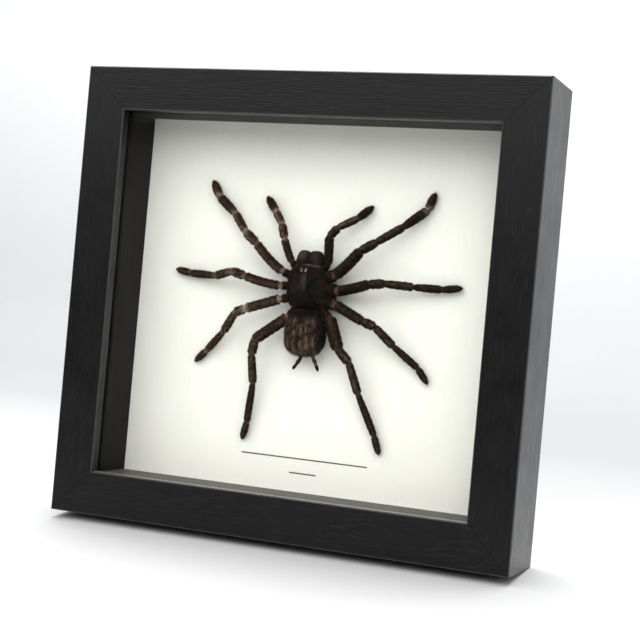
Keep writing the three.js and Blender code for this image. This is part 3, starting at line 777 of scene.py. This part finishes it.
def make_carapace(looks):
    """Returns the points of its upper face, in millimetres from its middle."""
    rings, sides = 72, 144
    forward = np.maximum(np.sin(2 * np.pi * np.arange(sides) / sides), 0)
    points, faces = pebble(carapace_outline, CARAPACE["dome"], CARAPACE["keel"], rings, sides,
                           flatness=0.8 - 0.35 * forward ** 2)
    x, z = points[:, 0].copy(), points[:, 1].copy()
    from_pit = np.hypot(x - FOVEA[0], z - FOVEA[1])
    bearing = np.degrees(np.arctan2(z - FOVEA[1], np.abs(x - FOVEA[0])))
    groove = np.zeros(len(points))
    for at, depth in GROOVES:
        width = np.degrees(GROOVE_WIDTH / np.maximum(from_pit, 1.5))
        groove += depth * np.exp(-(((bearing - at) / width) ** 2)) * np.clip((from_pit - 1.0) / 3, 0, 1)
    groove *= np.clip((12.0 - from_pit) / 3.5, 0, 1)
    pit = bell(x, z, FOVEA, 1.5, 0.8)
    groove = np.clip(groove + pit, 0, 1)
    top = np.clip(points[:, 2] / 2.0, 0, 1)
    head = bell(x, z, (-0.3, 6.0), 5.0, 5.5)
    mound = bell(x, z, EYE_MOUND, 1.7, 1.3)
    rear = np.clip((-z - 4) / 8, 0, 1)
    lump = 0.12 * np.sin(1.3 * x + 1.1 * np.sin(0.9 * z)) * np.sin(1.1 * z + 0.7 * x)
    points[:, 2] += top * (0.4 * head + 1.3 * mound - 0.75 * groove - 1.0 * pit - 1.4 * rear
                           + 1.5 * lump)
    under = np.clip(-points[:, 2] / CARAPACE["keel"], 0, 1)
    points[:, :2] *= (1 - 0.22 * under)[:, None]
    rim = np.exp(-((points[:, 2] / 0.9) ** 2))
    points[:, :2] *= (1 + 0.02 * rim)[:, None]
    piece = add_piece("carapace_shell", row_points(points + CARAPACE["centre"]), faces,
                      [looks["carapace_skin"]])
    ridge = np.maximum(bell(x, z, (-0.6, 2.8), 0.8, 4.0), 0.7 * bell(x, z, (-2.4, 1.2), 1.3, 2.4))
    # groove and pit carry painted shade for the skin.
    mark(piece, {"ridge": ridge * top, "groove": groove * top, "pit": pit * top})
    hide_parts("carapace")
    outward = row_points(np.stack([x, z, 0 * x], axis=1)) - row_points((0, 0, 0))
    lay = outward + np.array([0, 0, 1e-6])
    sparse = 1 - 0.85 * np.clip(pit + mound, 0, 1)
    fur("carapace_hair", piece, lay, 7000, 0.6, 0.028, looks["carapace_hair"], 11,
        lift=(0.12, 0.4), weight=sparse * np.clip(0.25 + top, 0, 1), long_hairs=0.04)
    edge = np.exp(-(((points[:, 2] - FRINGE_RISE) / 0.7) ** 2))
    front = np.clip((z - 9.8) / 0.8, 0, 1) * edge * np.clip((x + 2.5) / 2, 0.1, 1) + 1e-5
    fur("carapace_fringe", piece, lay, 700, 0.7, 0.04, looks["fringe_hair"], 12,
        lift=(0.0, 0.35), weight=front)
    return points[top > 0.5]


def make_eyes(shell, looks):
    """Eight small eyes on the mound, three pearly ones each side of a dark pair. shell holds the points
    of the carapace's upper face, in millimetres from its middle."""
    pearly, dark = [], []
    for side in (-1, 1):
        pearly += [(1.3 * side, 0.6, 0.46), (1.35 * side, -0.4, 0.5), (0.78 * side, -0.75, 0.32)]
        dark += [(0.48 * side, 0.25, 0.5)]
    for name, places in (("pearly_eyes", pearly), ("dark_eyes", dark)):
        points, faces = [], []
        for x, z, radius in places:
            dome, dome_faces = pebble(lambda angle: (radius * np.cos(angle), radius * np.sin(angle)),
                                      radius, radius, 10, 16)
            at = np.array(EYE_MOUND) + (x, z)
            nearest = np.argmin(np.hypot(*(shell[:, :2] - at).T))
            dome += (at[0], at[1], shell[nearest, 2])
            faces += [tuple(v + len(points) * len(dome) for v in face) for face in dome_faces]
            points.append(dome)
        points = np.concatenate(points) + CARAPACE["centre"]
        add_piece(name, row_points(points), faces, [looks[name]])


def abdomen_outline(angle):
    squareness = np.where(np.sin(angle) > 0, SHOULDER_SQUARENESS, RUMP_SQUARENESS)
    return squared_oval(angle, ABDOMEN["half_width"], ABDOMEN["half_length"], squareness,
                        lambda z: 1 - ABDOMEN_TAPER * z)


PALE_LINES = (-7.0, -3.4, -2.6, 0.3, 3.4, 7.3)
FLANK_CREASE = 9.0


def make_abdomen(looks):
    half = ABDOMEN["half_height"]
    points, faces = pebble(abdomen_outline, half, half, 84, 168, flatness=0.9)
    x, z = points[:, 0], points[:, 1]
    bearing = np.arctan2(x, np.maximum(points[:, 2], -3) + 7)
    wander = 0.22 * np.sin(0.55 * z + 0.6) + 0.1 * np.sin(1.5 * z + 2.1)
    wave = np.sin(7.5 * bearing + wander * 7.5) + 0.5 * np.sin(16 * bearing + 1.6 * np.sin(0.7 * z))
    furrow = np.clip(-wave - 0.25, 0, 1) * np.clip((12.1 - np.abs(z)) / 4, 0, 1)
    cross = np.clip(np.sin(1.15 * z + 2.2 * np.sin(0.5 * x)) - 0.55, 0, 1) * 1.6
    crease = np.exp(-(((x - FLANK_CREASE - 0.4 * np.sin(0.5 * z)) / 0.55) ** 2)) * (points[:, 2] > 0)
    slump = bell(x, z, (1.5, 3.5), 3.4, 4.0)
    points *= (1 - 0.055 * furrow - 0.02 * cross - 0.06 * slump - 0.05 * crease)[:, None]
    piece = add_piece("abdomen_skin", row_points(points + ABDOMEN["centre"]), faces,
                      [looks["abdomen_skin"]])
    # Painted shade in the furrows and the crease, read by the skin.
    mark(piece, {"furrow": np.clip(furrow + crease, 0, 1)})
    lines = sum(np.exp(-(((x - at - 0.3 * np.sin(0.5 * z + at)) / 0.2) ** 2)) for at in PALE_LINES)
    lines = 0.65 * np.clip(lines, 0, 1) * np.clip((7 - z) / 3, 0, 1) * (points[:, 2] > 0)
    # Painted shade: the right side, away from the light, is darker.
    flank_shade = np.clip((x - 7.8) / 2.4, 0, 0.85) * np.clip((z + 9) / 4, 0, 1)
    front = np.clip((z - 6) / 4, 0, 0.95)
    # Painted shade in the furrows and the crease.
    folds = 0.5 * np.clip(1.6 * (furrow + crease), 0, 1)
    marks = {"line": lines, "dark": np.maximum(np.maximum(flank_shade, front), folds)}
    mark(piece, marks)
    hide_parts("abdomen")
    lay = np.stack([0.045 * x, 0 * x, -1 + 0.03 * z], axis=1)
    top = np.clip(0.35 + points[:, 2] / 6, 0.12, 1)
    fur("abdomen_down", piece, lay, 15000, 1.0, 0.035, looks["abdomen_hair"], 21,
        lift=(0.15, 0.5), weight=top, carried=marks)
    rear = top * np.clip(0.2 - z / 9, 0.08, 1.0)
    fur("abdomen_long_hair", piece, lay, 3400, 2.4, 0.035, looks["abdomen_long_hair"], 22,
        lift=(0.1, 0.55), droop=0.5, weight=rear, carried=marks)


JAW_INNER_SQUARENESS = 5.0
JAW_OUTER_SQUARENESS = 2.3
JAW_NARROWING = 0.16


def make_chelicera(name, jaw, looks, seed):
    """One of the two jaws: flat on its inner side, where they meet, and drawn in towards its tip."""
    half_x, half_z, half_rise = jaw["half"]
    inner = jaw["inner"]

    def outline(angle):
        squareness = np.where(inner * np.cos(angle) > 0, JAW_INNER_SQUARENESS, JAW_OUTER_SQUARENESS)
        x, z = squared_oval(angle, half_x, half_z, squareness)
        outer = np.clip(-inner * x / half_x, 0, 1)
        return x * (1 - JAW_NARROWING * outer * np.clip(z / half_z, 0, 1)), z

    points, faces = pebble(outline, half_rise, half_rise, 44, 72, flatness=0.85)
    x, z, rise = points.T
    # Where the painted highlight falls: the front top of each jaw, stronger on the left one.
    crown_highlight = bell(x, z, (0.4 * inner, 3.4), 2.2, 2.2) * np.clip(rise / 2, 0, 1) * jaw["highlight_strength"]
    piece = add_piece(name + "_skin", row_points(points + jaw["centre"]), faces,
                      [looks["chelicera_skin"]])
    mark(piece, {"crown_highlight": crown_highlight})
    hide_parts(name)
    lay = np.stack([0.08 * x, 0 * x, 1 + 0 * x], axis=1)
    sparse = np.clip(1.2 - inner * x / 3.0, 0.3, 1)
    fur(name + "_hair", piece, lay, 4200, 0.8, 0.028, looks["chelicera_hair"], seed,
        lift=(0.12, 0.45), weight=np.clip(0.4 + rise / 4, 0.1, 1) * sparse, carried={"crown_highlight": crown_highlight})


# ---- Caption lines ----
# The middle and length of each rule.
RULES = ((1.6, 39.2, 71), (1.8, 31.6, 15))
RULE_WIDTH = 0.7
RULE_RISE = 0.03


def make_caption_rules(looks):
    """Two plain ruled lines where a caption is printed: a long one over a short one."""
    points, faces = [], []
    for x, z, length in RULES:
        first = len(points)
        points += [(x + sx * length / 2, z + sz * RULE_WIDTH / 2, rise)
                   for rise in (0.0, RULE_RISE) for sx, sz in ((-1, -1), (1, -1), (1, 1), (-1, 1))]
        quads = [(4, 5, 6, 7), (3, 2, 1, 0), (0, 1, 5, 4), (1, 2, 6, 5), (2, 3, 7, 6), (3, 0, 4, 7)]
        faces += [tuple(first + corner for corner in quad) for quad in quads]
    add_piece("caption_rules", row_points(points), faces, [looks["printing_ink"]], smooth=False)


# ---- Everything on the frame ----
GRAIN_ALONG_X = (0.06, 1.0, 1.0)
GRAIN_ALONG_Z = (1.0, 1.0, 0.06)


def dress_frame():
    """Gives each CAD node of the frame its finish."""
    steel = metal("tab_steel", colour(168, 168, 165), 0.28, 0.45)
    brass = metal("hanger_brass", colour(196, 178, 120), 0.25, 0.4)
    finishes = {"glass_pane": picture_glass(), "mount_card": white_card(), "backing_board": hardboard()}
    for way, across, sides in (("flat", GRAIN_ALONG_X, ("top", "bottom")),
                               ("upright", GRAIN_ALONG_Z, ("left", "right"))):
        wood = black_wood("black_wood_" + way, across)
        spacer = spacer_wood("spacer_" + way, across)
        for side in sides:
            finishes["frame_rail_" + side] = wood
            finishes["spacer_" + side] = spacer
            finishes[f"tab_{side}_1"] = finishes[f"tab_{side}_2"] = steel
    for name in ("hanger", "hanger_nail_left", "hanger_nail_right"):
        finishes[name] = brass
    glue = Look("set_glue", Roughness=0.3)
    finishes["glue_dab"] = glue.finish(Base_Color=glue.mix(glue.noise(500), (214, 205, 178),
                                                           (228, 222, 200)))
    for name, finish in finishes.items():
        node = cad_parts[name]
        node.data.materials.clear()
        node.data.materials.append(finish)


def make_spider():
    looks = {
        "limb_skin": limb_skin(),
        "carapace_skin": carapace_skin(),
        "abdomen_skin": abdomen_skin(),
        "chelicera_skin": chelicera_skin(),
        "pearly_eyes": eye_lens("pearly_eyes", (106, 99, 85), (160, 152, 137)),
        "dark_eyes": eye_lens("dark_eyes", (12, 9, 8), (28, 22, 20)),
        "limb_hair": hair("limb_hair", {
            "dark": ((11, 6, 3), (58, 38, 25)),
            "brown": ((19, 11, 6), (88, 62, 42)),
            "pale": ((25, 14, 8), (114, 84, 60)),
        }, limb_marks),
        "limb_pad": hair("limb_pad", {
            "dark": ((25, 16, 7), (70, 47, 24)),
            "brown": ((40, 26, 12), (104, 76, 43)),
        }, limb_marks),
        "carapace_hair": hair("carapace_hair", {
            "dark": ((2, 1, 1), (9, 4, 3)),
            "brown": ((4, 2, 2), (30, 14, 11)),
        }),
        "fringe_hair": hair("carapace_fringe", {"hair": ((76, 62, 55), (128, 110, 101))}),
        "abdomen_hair": hair("abdomen_hair", {
            "dark": ((18, 13, 10), (60, 47, 37)),
            "brown": ((33, 24, 19), (98, 83, 69)),
        }, abdomen_marks),
        "abdomen_long_hair": hair("abdomen_long", {
            "dark": ((34, 25, 19), (60, 46, 37)),
            "pale": ((66, 55, 45), (108, 96, 82)),
        }, abdomen_marks),
        "chelicera_hair": hair("chelicera_hair", {
            "dark": ((17, 12, 10), (32, 24, 20)),
            "pale": ((32, 26, 20), (58, 50, 38)),
        }, crown_marks),
    }
    make_eyes(make_carapace(looks), looks)
    make_abdomen(looks)
    for seed, (name, jaw) in enumerate(CHELICERAE.items(), 31):
        make_chelicera(name, jaw, looks, seed)
    for seed, (name, limb) in enumerate(LEGS.items(), 41):
        make_limb(name, limb, LEG_RADII, LEG_STREAKS, looks, seed, LEG_HAIRS)
    for seed, (name, limb) in enumerate(PALPS.items(), 61):
        make_limb(name, limb, PALP_RADII, PALP_STREAKS, looks, seed, PALP_HAIRS)
    for seed, (name, limb) in enumerate(SPINNERETS.items(), 71):
        make_spinneret(name, limb, looks, seed)
    return looks


# ---- Stage: floor, light and camera ----
SWEEP_STARTS = 0.9
SWEEP_RADIUS = 0.7
SWEEP_STEPS = 16
SWEEP_TOP = 2.6
FLOOR_FRONT = -3.0
FLOOR_HALF_WIDTH = 4.0
FLOOR_GLOW = 0.8
FLOOR_SLOPE = math.radians(6)
FRAME_BACK_Y = 0.02125
WORLD_FRONT = 0.18
WORLD_BACK = 0.7
WORLD_SEEN = 0.85


def make_stage():
    """A white sheet that runs back under the frame and sweeps up behind it. It touches the frame's rear
    lower edge and falls away towards the front, as if the frame leant back a little. The glass mirrors
    the part that is far in front as grey."""
    profile = [(FLOOR_FRONT, 0.0), (SWEEP_STARTS, 0.0)]
    for step in range(1, SWEEP_STEPS + 1):
        turn = math.pi / 2 * step / SWEEP_STEPS
        profile.append((SWEEP_STARTS + SWEEP_RADIUS * math.sin(turn),
                        SWEEP_RADIUS * (1 - math.cos(turn))))
    profile.append((SWEEP_STARTS + SWEEP_RADIUS, SWEEP_TOP))
    points = [(x, y, z) for y, z in profile for x in (-FLOOR_HALF_WIDTH, FLOOR_HALF_WIDTH)]
    faces = [(2 * i, 2 * i + 1, 2 * i + 3, 2 * i + 2) for i in range(len(profile) - 1)]
    mesh = bpy.data.meshes.new("floor")
    mesh.from_pydata(points, [], faces)
    mesh.polygons.foreach_set("use_smooth", [True] * len(faces))
    floor = bpy.data.objects.new("floor", mesh)
    bpy.context.collection.objects.link(floor)
    floor.rotation_euler.x = FLOOR_SLOPE
    floor.location = (0, FRAME_BACK_Y * (1 - math.cos(FLOOR_SLOPE)),
                      -FRAME_BACK_Y * math.sin(FLOOR_SLOPE))
    look = Look("floor", Roughness=0.85, Specular_IOR_Level=0.1)
    _, back, up = look.parts(look.place())
    seen = look.node("LightPath").outputs["Is Camera Ray"]
    lit = look.maths("MAXIMUM", look.remap(back, -0.75, -0.33), seen)
    shade = look.mix(lit, (150, 150, 150), (206, 206, 206))
    # Painted shade of the backdrop: greyer bands on the floor before the sweep, whiter up the wall.
    shade = look.mix(look.remap(back, 0.0, 0.34), shade, (168, 169, 170))
    shade = look.mix(look.remap(back, 0.5, 0.95), shade, (186, 187, 188))
    shade = look.mix(look.remap(up, 0.0, 0.4), shade, (246, 247, 247))
    # Painted light: the far floor glows, to the camera only.
    glow = look.times(seen, look.remap(back, -1.1, -0.75, FLOOR_GLOW, 0.0))
    mesh.materials.append(look.finish(Base_Color=shade, Emission_Color=shade, Emission_Strength=glow))


def make_world():
    """Pale to look at. The light from it is dimmer in front, so that the glass mirrors little."""
    world = bpy.data.worlds.new("world")
    world.use_nodes = True
    bpy.context.scene.world = world
    nodes = Nodes(world.node_tree)
    way = nodes.parts(nodes.node("TexCoord").outputs["Generated"])
    inputs = {"Value": way["Y"], "From Min": -0.6, "From Max": 0.2,
              "To Min": WORLD_FRONT, "To Max": WORLD_BACK}
    level = nodes.node("MapRange", inputs, interpolation_type="SMOOTHSTEP").outputs[0]
    seen = nodes.times(nodes.node("LightPath").outputs["Is Camera Ray"], WORLD_SEEN)
    background = world.node_tree.nodes["Background"].inputs
    nodes.feed(background["Color"], (0.97, 0.985, 1.0, 1.0))
    nodes.feed(background["Strength"], nodes.maths("MAXIMUM", level, seen))


def add_area_light(name, place, aim, size, power):
    lamp = bpy.data.lights.new(name, "AREA")
    lamp.shape = "RECTANGLE"
    lamp.size, lamp.size_y = size
    lamp.energy = power
    light = bpy.data.objects.new(name, lamp)
    bpy.context.collection.objects.link(light)
    light.location = place
    light.rotation_euler = (Vector(aim) - Vector(place)).to_track_quat("-Z", "Y").to_euler()


def make_lights():
    middle = (0.0, 0.0, 0.12)
    add_area_light("key", (-0.3, -0.92, 0.83), middle, (2.1, 1.15), 14.9)
    add_area_light("fill", (0.9, -0.9, 0.62), middle, (1.2, 0.85), 4.2)
    add_area_light("overhead", (0.0, 0.26, 1.4), middle, (1.4, 0.8), 26)
    add_area_light("backdrop_light", (-1.0, 0.5, 1.9), (-0.7, 1.6, 0.9), (2.6, 0.8), 19.5)


CAMERA_PLACE = (290.1, -697.9, 111.5)
CAMERA_YAW, CAMERA_PITCH, CAMERA_ROLL = 21.85, 0.07, 5.11
LENS_MM = 83.0
SENSOR_MM = 36.0


def make_camera():
    data = bpy.data.cameras.new("camera")
    data.lens = LENS_MM
    data.sensor_width = SENSOR_MM
    data.clip_start, data.clip_end = 0.01, 20
    camera = bpy.data.objects.new("camera", data)
    bpy.context.collection.objects.link(camera)
    turn = Matrix.Rotation(math.radians(CAMERA_YAW), 4, "Z")
    turn = turn @ Matrix.Rotation(math.radians(90 + CAMERA_PITCH), 4, "X")
    turn = turn @ Matrix.Rotation(math.radians(CAMERA_ROLL), 4, "Z")
    camera.matrix_world = Matrix.Translation(Vector(CAMERA_PLACE) * MM) @ turn
    bpy.context.scene.camera = camera


dress_frame()
looks = make_spider()
looks["printing_ink"] = printing_ink()
make_caption_rules(looks)
make_stage()
make_world()
make_lights()
make_camera()
bpy.context.scene.view_settings.view_transform = "Standard"
